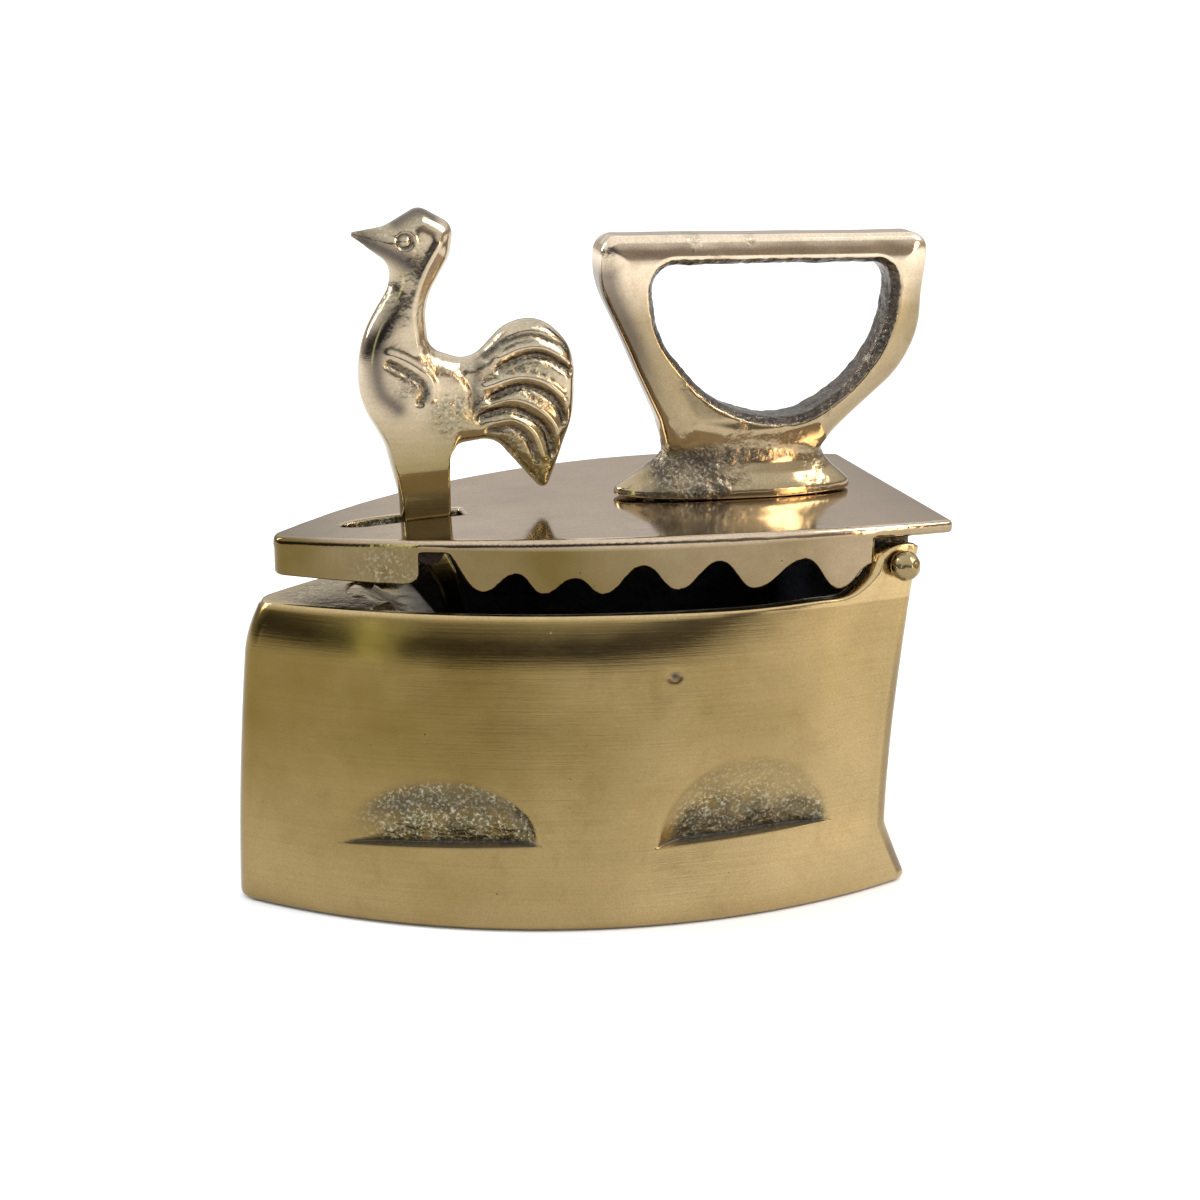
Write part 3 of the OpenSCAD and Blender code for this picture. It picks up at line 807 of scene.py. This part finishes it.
def lid_outline():
    """The lid's plan: nose arc, side arcs and straight rear edge."""
    xm, wm, r, nose_r, rear, corner = 29.0, 31.5, 139.0, 3.0, 63.0, 1.0
    xc = xm - math.sqrt((r - nose_r) ** 2 - (r - wm) ** 2)
    a_nose = math.atan2(r - wm, xc - xm)
    t = math.asin((rear - corner - xm) / r)
    a_rear = math.acos((rear - corner + corner * math.sin(t) - xm) / r)
    nose = np.linspace(math.pi, a_nose, 12)
    side = np.linspace(a_nose, a_rear, 90)[1:]
    turn = np.linspace(a_rear, 0, 6)[1:]
    cx, cy = xm + (r - corner) * math.cos(a_rear), wm - r + (r - corner) * math.sin(a_rear)
    half = np.concatenate([
        np.stack([xc + nose_r * np.cos(nose), nose_r * np.sin(nose)], 1),
        np.stack([xm + r * np.cos(side), wm - r + r * np.sin(side)], 1),
        np.stack([cx + corner * np.cos(turn), cy + corner * np.sin(turn)], 1)])
    return np.concatenate([half, half[:0:-1] * (1, -1)])


def wavy_edge(x):
    """Height of the skirt's lower edge."""
    height = np.full(x.shape, 68.9)
    for (x0, z0), (x1, z1) in zip(WAVE, WAVE[1:]):
        t = np.clip((x - x0) / (x1 - x0), 0, 1)
        ease = t - 0.75 * np.sin(2 * np.pi * t) / (2 * np.pi)
        height = np.where((x >= x0) & (x <= x1), z0 + (z1 - z0) * ease, height)
    return height


def skirt_profile(v):
    """The skirt seen from the side: wavy part, strip above the notch and nose piece."""
    px, pz = v.plane()
    slope = np.abs(np.gradient(wavy_edge(px[:, :1]), v.step, axis=0))
    profile = (wavy_edge(px) - pz) / np.sqrt(1 + slope ** 2)
    profile = np.maximum(profile, WAVE[0][0] - 1 - px)
    profile = np.minimum(profile, np.maximum(NOTCH_TOP - pz, box_distance(px, *NOTCH_X)))
    profile = np.minimum(profile, loop_distance(NOSE_SKIRT, px, pz, 6))
    return np.maximum(profile, px - SKIRT_END)[:, None, :]


def hanging_lug(v, y, mid, centre, radius, across, soft):
    """A lug under the plate, round about centre (x, z) and straight above it."""
    round_part = away(centre, v.x, v.z) - radius
    block = np.maximum(np.abs(v.x - centre[0]) - radius, np.maximum(centre[1] - v.z, v.z - mid))
    return smooth_max(np.minimum(round_part, block), box_distance(y, *across), soft)


def slot_field(v):
    """The latch slot, with a pointed front end and a ragged rear end."""
    x0, x1, half = SLOT
    front = np.clip((v.x - x0 - 8) / 8, -1, 0)
    opening = half * np.sqrt(np.maximum(1 - front ** 2, 0)) + 0.25 * (1 + front)
    ragged = 0.3 * lattice_noise(np.stack(np.broadcast_arrays(v.x, 9.0, v.z), -1), 1.3, 41)
    ends = box_distance(v.x, x0, x1 + ragged * 0.6)
    slot = np.maximum(np.abs(v.y) - np.minimum(opening, half), ends)
    return np.maximum(slot, -v.z + 60)


def lid_field(v):
    """Field of the lid: crowned plate, scalloped skirt, knuckles, lugs, bosses and slot."""
    xs, ys = np.meshgrid(v.x.ravel(), v.y.ravel(), indexing="ij")
    edge = outline_distance(lid_outline(), xs, ys)[:, :, None]
    mid = lid_top(v.x) - LID_T / 2
    plate = rounded_slab(edge, v.z - mid, LID_T / 2, 0.75)
    skirt = smooth_max(np.abs(edge + SKIRT_T / 2) - SKIRT_T / 2, skirt_profile(v), 0.5)
    shape = smooth_min(plate, np.maximum(skirt, v.z - mid), 0.5)
    for side in (-1, 1):
        knuckle = hanging_lug(v, side * v.y, mid, HINGE, KNUCKLE_R, KNUCKLE_Y, 0.5)
        shape = smooth_min(shape, knuckle, 0.6)
        shape = smooth_min(shape, hanging_lug(v, side * v.y, mid, LATCH, LUG_R, LUG_Y, 0.4), 0.5)
        round_boss = np.hypot(v.x - (HANDLE_X + side * SCREW_OFF), v.y) - BOSS_R
        boss = smooth_max(round_boss, np.abs(v.z - mid + BOSS_HALF) - BOSS_HALF, 0.4)
        shape = smooth_min(shape, boss, 0.6)
    shape = smooth_max(shape, -slot_field(v), 0.45)
    return np.maximum(shape, PIN_HOLE_R - away(HINGE, v.x, v.z))


def add_lid():
    volume = Volume((-64.5, -33, 57.5), (64.5, 33, 72), 0.36)
    vertices, faces, normal = carved(volume, lid_field, 2)
    x, y, z = vertices.T
    under = ramp(-1.2, -2.0, z - lid_top(x))
    inner = ramp(0.2, -0.4, normal[:, 2]) * under
    outline_d = outline_distance(lid_outline(), x, y)
    skin = ramp(-0.9, -1.4, outline_d) * under
    near_pin = ramp(6.0, 4.6, away(HINGE, x, z))
    rough = 0.14 * rough_noise(vertices, 2.2, 51) * skin * (1 - near_pin)
    top_waves = 0.035 * lattice_noise(vertices, 17, 52) + 0.012 * lattice_noise(vertices, 6, 53)
    vertices = vertices + normal * (rough + top_waves * (1 - skin))[:, None]
    spot = np.exp(-((x + 40) / 3.6) ** 2 - ((z - 65.2) / 2.8) ** 2) * (np.abs(y) > 8)
    spot = np.clip(1.8 * spot, 0, 1) * (0.5 + 0.5 * ramp(-0.2, 0.3, rough_noise(vertices, 3, 54)))
    slot_edge = np.maximum(np.abs(y) - 3.0, np.maximum(SLOT[0] - 0.6 - x, x - SLOT[1] - 0.9))
    slot_rough = ramp(0.4, -0.3, slot_edge) * ramp(-0.1, -0.5, z - lid_top(x))
    cast = np.maximum.reduce([skin, 0.6 * spot * (1 - skin), slot_rough])
    vertices = vertices + normal * (0.09 * rough_noise(vertices, 1.1, 55) * spot * (1 - skin) * 0.6)[:, None]
    black = skin * (0.55 + 0.4 * ramp(-0.5, 0.6, rough_noise(vertices, 14, 56)))
    masks = {"cast": cast, "soot_and_shade": black * ramp(-2.1, -2.7, z - lid_top(x) - 0.3 * inner)}
    # Painted light: the lid's top is painted lighter and warmer than its skirt, more towards the heel, a
    # painted reflection of the pale surroundings behind and above.
    painted_light_from = (("Z", 0.0686, 0.0700, 0.8), ("X", -0.010, 0.060, 0.4))
    material = brass("lid_brass", tone=(0.125, 0.088, 0.028), warm=(0.58, 0.46, 0.33), lines=(60, 2200, 500),
                     painted_light_from=painted_light_from, gloss=0.07, line_depth=0.000003)
    make_piece("lid_casting", (vertices, faces), "lid", ["lid"], material, masks)


# ---- Handle ----

LOOP_OUTER = ((-12.8, 8.6, 3), (-28.5, 39.7, 14), (-28.5, 48.5, 3.5), (35.5, 48.5, 3.5),
              (35.5, 25.5, 18), (16.6, 9.6, 3))
LOOP_INNER = ((-2.5, 13.9, 24), (-18.2, 31, 20), (-18.2, 43, 4), (28.7, 43, 4), (28.7, 24.5, 24),
              (12, 14.6, 11))
FOOT_HALF = (23.5, 7.5)
LOOP_HALF = 4.1  # Half the loop's thickness in the middle of its section.
HOLE_CHAMFER, CHAMFER_SLOPE = 1.7, 1.3
# Height, centre and share of the foot's size, from the lid up.
FOOT_FLARE = ((0, 0, 1.0), (1.5, 0, 0.99), (2.6, 0.2, 0.93), (4.4, 0.5, 0.82), (6.4, 1, 0.72),
              (9, 1.6, 0.65), (13, 2, 0.58))


def handle_field(v):
    """Field of the handle in its own frame: u along the lid, w across, height from the lid."""
    pu, ph = v.plane()
    outer = loop_distance(LOOP_OUTER, pu, ph)
    inner = loop_distance(LOOP_INNER, pu, ph)
    rim = 1.9 + 1.1 * ramp(36, 44, ph)
    half = rim + (LOOP_HALF - rim) * np.sin(np.pi / 2 * np.clip(-outer / 6, 0, 1))
    half += 0.9 * ramp(26, 10, ph) + 0.25 * ramp(40, 47, ph)
    outer, inner, half = (a[:, None, :] for a in (outer, inner, half))
    body = rounded_slab(outer, v.y, half, 1.1)
    bevel = (np.abs(v.y) - half + HOLE_CHAMFER - CHAMFER_SLOPE * inner) * 0.61
    loop = smooth_max(smooth_max(body, -inner, 0.9), bevel, 0.3)
    heights, centres, shares = (np.array(c, float) for c in zip(*FOOT_FLARE))
    centre = np.interp(v.z, heights, centres)
    share = np.interp(v.z, heights, shares)
    reach = np.hypot((v.x - centre) / (FOOT_HALF[0] * share), v.y / (FOOT_HALF[1] * share))
    foot = (reach - 1) * FOOT_HALF[1] * share * 0.93
    foot = smooth_max(foot, v.z - 12.0, 0.8)
    shape = smooth_min(loop, foot, 2.6)
    return smooth_max(shape, 0.05 - v.z, 0.3)


def add_handle():
    vertices, faces, normal = carved(Volume((-30, -9, -0.6), (37, 9, 50), 0.3), handle_field, 2)
    u, w, h = vertices.T
    inner = loop_distance(LOOP_INNER, u, h)
    hole_wall = ramp(2.0, 1.2, inner) * ramp(0.95, 0.8, np.abs(normal[:, 1]))
    foot_zone = ramp(11.5, 8.5, h)
    patch = rough_noise(vertices, 7, 61)
    mirror_side = ramp(-9, 9, u) * ramp(7.5, 5.0, h)
    foot_rough = foot_zone * ramp(-0.2, 0.9, patch + 0.75 - 1.5 * mirror_side - 0.12 * np.abs(h - 7))
    pits = ramp(0.45, 0.8, rough_noise(vertices, 5.5, 67)) * 0.35
    cast = np.maximum.reduce([hole_wall, foot_rough, pits])
    outer = loop_distance(LOOP_OUTER, u, h)
    # Painted shade and painted dark reflections: a dark band inside the loop's outer edge, strongest on the
    # limb towards the nose, and painted shade on the hole's bevel. The rough foot gets some real tarnish.
    margin = ramp(-4.5, -1.5, outer) * ramp(45, 41, h) * ramp(8, 14, h)
    shade_and_tarnish = margin * (0.12 + 0.6 * ramp(-14, -22, u)) + 0.75 * hole_wall
    shade_and_tarnish = np.maximum(shade_and_tarnish, 0.5 * foot_rough)
    bottom = ramp(0.5, 0.15, h)
    waves = 0.10 * lattice_noise(vertices, 11, 63) + 0.05 * lattice_noise(vertices, 4.5, 64)
    grit = 0.10 * rough_noise(vertices, 1.3, 65) + 0.12 * lattice_noise(vertices, 2.8, 66)
    vertices = vertices + normal * ((waves + grit * cast) * (1 - bottom))[:, None]
    drop = (HANDLE_X - CROWN_X) ** 2 / (2 * CROWN_R)
    u, w, h = vertices.T
    placed = np.stack([HANDLE_X + u * math.cos(LEAN) + h * math.sin(LEAN), w,
                       LID_Z - drop - u * math.sin(LEAN) + h * math.cos(LEAN)], 1)
    # Painted light: the upper part of the loop is painted lighter and warmer, a painted highlight.
    material = brass("handle_brass", tone=(0.33, 0.255, 0.145), warm=(0.86, 0.71, 0.53),
                     skin_tone=(0.085, 0.062, 0.036), lines=(700, 700, 500),
                     painted_light_from=(("Z", 0.104, 0.113, 0.8),), gloss=0.09, line_depth=0.000004)
    make_piece("handle_casting", (placed, faces), "lid", ["handle"], material,
               {"cast": cast, "shade_and_tarnish": shade_and_tarnish})


# ---- Rooster latch ----

FIGURE = ((-33.9, 66.5, 1), (-34.1, 74, 8), (-36.6, 84, 12), (-41.2, 92.5, 16), (-40.9, 103, 18),
          (-34.9, 112.5, 6), (-35, 116.4, 4), (-42.6, 122.1, 0.5), (-35.8, 122.9, 5),
          (-29.6, 126.4, 2.5), (-23.4, 122.8, 3), (-24.1, 117.5, 5), (-28.9, 109.5, 12),
          (-28.4, 101, 4), (-20.6, 98.2, 5), (-14.5, 104.2, 8), (-8, 106.2, 7), (-1.2, 99.6, 10),
          (-1.2, 88, 20), (-7, 72.9, 1.2), (-16.5, 84, 5), (-24.8, 83, 3), (-24.7, 66.5, 1))
HOOK = ((-32.6, 63.2, 1), (-29.9, 61.6, 1), (-27.2, 56.6, 3), (-26, 52, 2), (-26, 49.4, 0.5),
        (-27.05, 48.4, 0.3), (-27.05, 47, 0.4), (-26, 45.6, 0.5), (-22.6, 45.6, 0.8),
        (-22.6, 52, 2), (-24.2, 59.6, 3), (-27.4, 66.4, 1))
# Lines drawn into the figure: path, width and depth of the groove.
GROOVES = (
    (((-18.5, 99.2), (-14.5, 101.9), (-9.5, 102.6), (-3.2, 99.9)), 0.55, 0.42),
    (((-16.0, 96.9), (-11.3, 98.7), (-7.6, 98.6), (-2.6, 95.6)), 0.70, 0.75),
    (((-17.5, 91.7), (-12.4, 93.2), (-8.2, 92.3), (-5.0, 89.6), (-3.6, 86.6)), 0.75, 0.80),
    (((-19.5, 88.3), (-15.0, 89.3), (-11.0, 88.2), (-7.4, 85.2), (-6.0, 80.6)), 0.75, 0.80),
    (((-18.0, 85.7), (-13.7, 85.9), (-10.8, 83.6), (-9.2, 79.8)), 0.55, 0.42),
    (((-36.2, 99.0), (-33.0, 97.2), (-29.8, 94.6), (-30.8, 92.0)), 0.70, 0.50),
    (((-42.4, 122.4), (-38.4, 122.2), (-34.4, 121.3)), 0.28, 0.30),
    (((-23.0, 97.0), (-20.8, 93.5), (-21.2, 90.0)), 1.00, 0.45),
)
# Painted shade and painted dark reflections, as bands on the figure: path, width and strength.
SHADE_BANDS = (
    (((-34.9, 107.8), (-38.3, 101.2), (-37.8, 94.4), (-34.6, 90.9)), 1.6, 0.75),
    (((-40.0, 121.0), (-35.6, 118.7), (-31.4, 116.2)), 1.6, 0.85),
    (((-34.0, 123.8), (-30.0, 125.8), (-27.4, 124.4)), 1.3, 0.75),
    (((-33.0, 96.6), (-30.6, 95.2), (-29.6, 92.6)), 0.9, 0.6),
    (((-19.6, 97.6), (-20.6, 93.6), (-20.2, 89.6)), 1.0, 0.6),
)
# Lines that stand proud: path, width and height of the ridge.
RIDGES = (
    (((-26.6, 120.0), (-29.4, 115.0), (-31.6, 108.0), (-31.0, 102.0)), 0.90, 0.42),
    (((-35.8, 100.6), (-32.6, 99.0), (-29.0, 96.0), (-28.6, 92.6)), 0.90, 0.50),
    (((-16.0, 98.9), (-11.8, 100.4), (-7.4, 100.2), (-2.6, 97.2)), 0.70, 0.42),
    (((-18.5, 93.8), (-12.6, 95.2), (-7.8, 94.2), (-4.2, 91.2)), 0.75, 0.45),
    (((-19.0, 90.5), (-14.0, 91.3), (-9.6, 89.8), (-6.0, 86.4), (-4.6, 82.4)), 0.75, 0.45),
    (((-17.0, 87.3), (-13.2, 87.4), (-9.6, 84.7), (-7.8, 80.2)), 0.60, 0.30),
)
EYE = (-32.8, 120.6)
LEG_HALF, HUB_R, LATCH_HOLE_R = 2.0, 3.4, 1.3


def figure_relief(px, pz):
    """How far the figure's lines, feathers and eye stand out of its flat side."""
    relief = np.zeros(px.shape)
    for path, width, depth in GROOVES:
        relief -= depth * bell(path_distance(path, px, pz), width)
    for path, width, height in RIDGES:
        relief += height * bell(path_distance(path, px, pz), width)
    eye = away(EYE, px, pz)
    relief += 0.40 * bell(eye, 0.75) - 0.32 * bell(eye - 1.25, 0.35)
    return relief + 0.22 * bell(eye - 1.85, 0.4)


def leg_share(px, pz):
    """1 on the flat leg, 0 on the modelled body."""
    return ramp(90.5, 84.5, pz + 0.45 * (px + 30)) * ramp(-22.6, -24.2, px)


def figure_field(v):
    """Field of the rooster with its leg, hub and hook."""
    px, pz = v.plane()
    edge = loop_distance(FIGURE, px, pz)
    leg = leg_share(px, pz)
    tail = ramp(-24, -18, px) * ramp(112, 104, pz)
    half = 3.35 - 0.35 * tail
    half = half + 0.35 * np.exp(-((px + 30) / 7) ** 2 - ((pz - 94) / 8) ** 2)
    half = half * (1 - 0.74 * ramp(-35.0, -42.4, px) * ramp(112, 116, pz))
    half = half + figure_relief(px, pz) * ramp(0.0, 1.2, -edge)
    half = half + (2.75 - half) * leg
    half = half + (LEG_HALF - half) * ramp(80, 74, pz) * (px < -20)
    turn = 4.0 + (0.7 - 4.0) * leg - 1.4 * tail * (1 - leg)
    edge, half, turn = (a[:, None, :] for a in (edge, half, turn))
    a = np.maximum(1 + edge / turn, 0)
    shape = (np.hypot(a, np.abs(v.y) / half) - 1) * np.minimum(half, turn)
    hub = away(LATCH, px, pz) - HUB_R
    hook = loop_distance(HOOK, px, pz, 6)
    below = smooth_min(hub, hook, 0.5)[:, None, :]
    below = smooth_max(below, np.abs(v.y) - LEG_HALF, 0.5)
    shape = smooth_min(shape, below, 0.5)
    return np.maximum(shape, LATCH_HOLE_R - away(LATCH, v.x, v.z))


def figure_masks(vertices):
    """Where the rooster is rough, and where it gets painted shade and painted dark reflections. Polishing
    reached what stands out.
    """
    x, _, z = vertices.T
    leg = leg_share(x, z)
    breast = ramp(-35.2, -37.6, x) * ramp(110, 106, z)
    back_of_head = ramp(-30.0, -27.6, x) * ramp(113, 117, z)
    tail_side = ramp(-8.0, -4.5, x)
    below = ramp(74, 72, z)
    polished = np.maximum.reduce([breast, back_of_head, 0.8 * tail_side, leg, below])
    ridge = sum(bell(path_distance(path, x, z), width) for path, width, _ in RIDGES)
    polished = np.maximum(polished, np.clip(ridge, 0, 1))
    patch = lattice_noise(vertices, 4.5, 71)
    cast = 0.6 * ramp(-0.5, 0.8, patch + 0.1) * (1 - polished)
    grooves = sum(bell(path_distance(path, x, z), width * 1.1) for path, width, _ in GROOVES[:6])
    grooves = np.clip(grooves, 0, 1)
    cast = np.maximum(cast, 0.9 * grooves * (1 - leg))
    eye = away(EYE, x, z)
    # Painted shade in the grooves and round the eye, and painted dark reflections along the bands.
    shade_and_tarnish = np.maximum(0.7 * grooves * (1 - leg), 0.8 * bell(eye - 1.2, 0.45))
    for path, width, strength in SHADE_BANDS:
        shade_and_tarnish = np.maximum(shade_and_tarnish, strength * bell(path_distance(path, x, z), width))
    return {"cast": cast, "shade_and_tarnish": shade_and_tarnish, "soot_and_shade": 0.6 * ramp(51, 46, z)}


def add_rooster():
    volume = Volume((-44, -4.6, 44.8), (-0.2, 4.6, 127.4), 0.24)
    vertices, faces, normal = carved(volume, figure_field, 1)
    masks = figure_masks(vertices)
    above_lid = ramp(73.5, 75.5, vertices[:, 2])
    grit = 0.07 * rough_noise(vertices, 0.9, 72) + 0.07 * lattice_noise(vertices, 2.0, 73)
    waves = 0.07 * lattice_noise(vertices, 6.0, 74)
    vertices = vertices + normal * ((grit * masks["cast"] + waves) * above_lid)[:, None]
    # Painted light: the figure's upper body and head are painted lighter and warmer, a painted reflection.
    material = brass("rooster_brass", tone=(0.20, 0.155, 0.055), warm=(0.58, 0.48, 0.35),
                     lines=(90, 90, 1500), painted_light_from=(("Z", 0.080, 0.094, 0.8),), gloss=0.11,
                     line_depth=0.00001)
    make_piece("rooster_figure", (vertices, faces), "latch", ["rooster_latch"],
               material, masks)


# ---- Small fittings ----

def add_hinge_ball(side, node, material):
    """The hammered end of the hinge pin: an uneven ball with one dent, flat against the ear."""
    radius, centre, flat = 2.8, 33.0, 31.6
    rings, turns = 60, 96
    polar = np.linspace(0, math.pi, rings)[:, None]
    angle = np.linspace(0, 2 * math.pi, turns, endpoint=False)[None, :]
    out = np.stack(np.broadcast_arrays(np.sin(polar) * np.cos(angle), np.cos(polar) + 0 * angle,
                                       np.sin(polar) * np.sin(angle)), -1)
    wobble = 0.06 * lattice_noise(out * radius + 40, 1.6, 81) + 0.05 * lattice_noise(out * radius, 0.7, 82)
    dent = np.linalg.norm(out - np.array((0.42, 0.86, 0.28)), axis=-1)
    r = radius - 0.07 + wobble - 0.22 * bell(dent, 0.2)
    points = out * r[..., None]
    y = np.maximum(points[..., 1] + centre, flat) * side
    vertices = np.stack([points[..., 0] + HINGE[0], y, points[..., 2] + HINGE[1]], -1).reshape(-1, 3)
    shell = join_shells((vertices, ring_quads(rings, turns, False)))
    make_piece(node + "_cast", shell, "base", [node], material)


def finish_cad_nodes():
    """Materials for the CAD nodes that keep their own shape."""
    hardware = steel("turned_steel")
    rivet = brass("rivet_brass", lines=(500, 500, 500), gloss=0.25)
    sole = brass("sole_brass", lines=(40, 2400, 40), gloss=0.16)
    iron = scaled_iron("fire_scaled_iron")
    for name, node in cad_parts.items():
        if name.startswith("sole_rivet"):
            material = rivet
        elif name == "sole_plate":
            material = sole
        elif name.startswith(("grate", "latch")):
            material = iron
        else:
            material = hardware
        node.data.materials.clear()
        node.data.materials.append(material)


def add_studio():
    """A bright ceiling over surroundings that are dim in front, warm to the right and pale
    behind, and four soft lights."""
    world = bpy.data.worlds.new("studio")
    world.use_nodes = True
    bpy.context.scene.world = world
    bpy.context.scene.view_settings.view_transform = "Standard"
    sky = Graph(world.node_tree, "Generated")
    front = sky.blend(sky.spread(sky.along("X"), -0.1, 0.9), (0.070, 0.068, 0.085), (0.55, 0.48, 0.40))
    round_about = sky.blend(sky.spread(sky.along("Y"), -0.1, 0.7), front, (0.60, 0.57, 0.54))
    ceiling = sky.blend(sky.spread(sky.along("Z"), 0.22, 0.46), round_about, (1.34, 1.37, 1.42))
    sky.plug(ceiling, world.node_tree.nodes["Background"].inputs["Color"])
    add_softbox("key_right", (0.9, -0.5, 0.9), (0.45, 0.6), 9, (1, 0.95, 0.88))
    add_softbox("window_left", (-1.0, 0.5, 0.75), (0.3, 0.8), 8, (0.92, 0.96, 1))
    add_softbox("leaf_left", (-0.8, -0.75, 0.22), (0.12, 0.5), 0.35, (0.9, 1, 0.55))
    add_softbox("peach_right", (0.75, -0.85, 0.2), (0.2, 0.35), 2.2, (1, 0.72, 0.48))


add_camera()
add_studio()
add_floor()
finish_cad_nodes()
ball_brass = brass("ball_brass", lines=(900, 900, 900), gloss=0.18)
add_firebox()
add_lid()
add_handle()
add_rooster()
add_hinge_ball(-1, "hinge_ball_left", ball_brass)
add_hinge_ball(1, "hinge_ball_right", ball_brass)
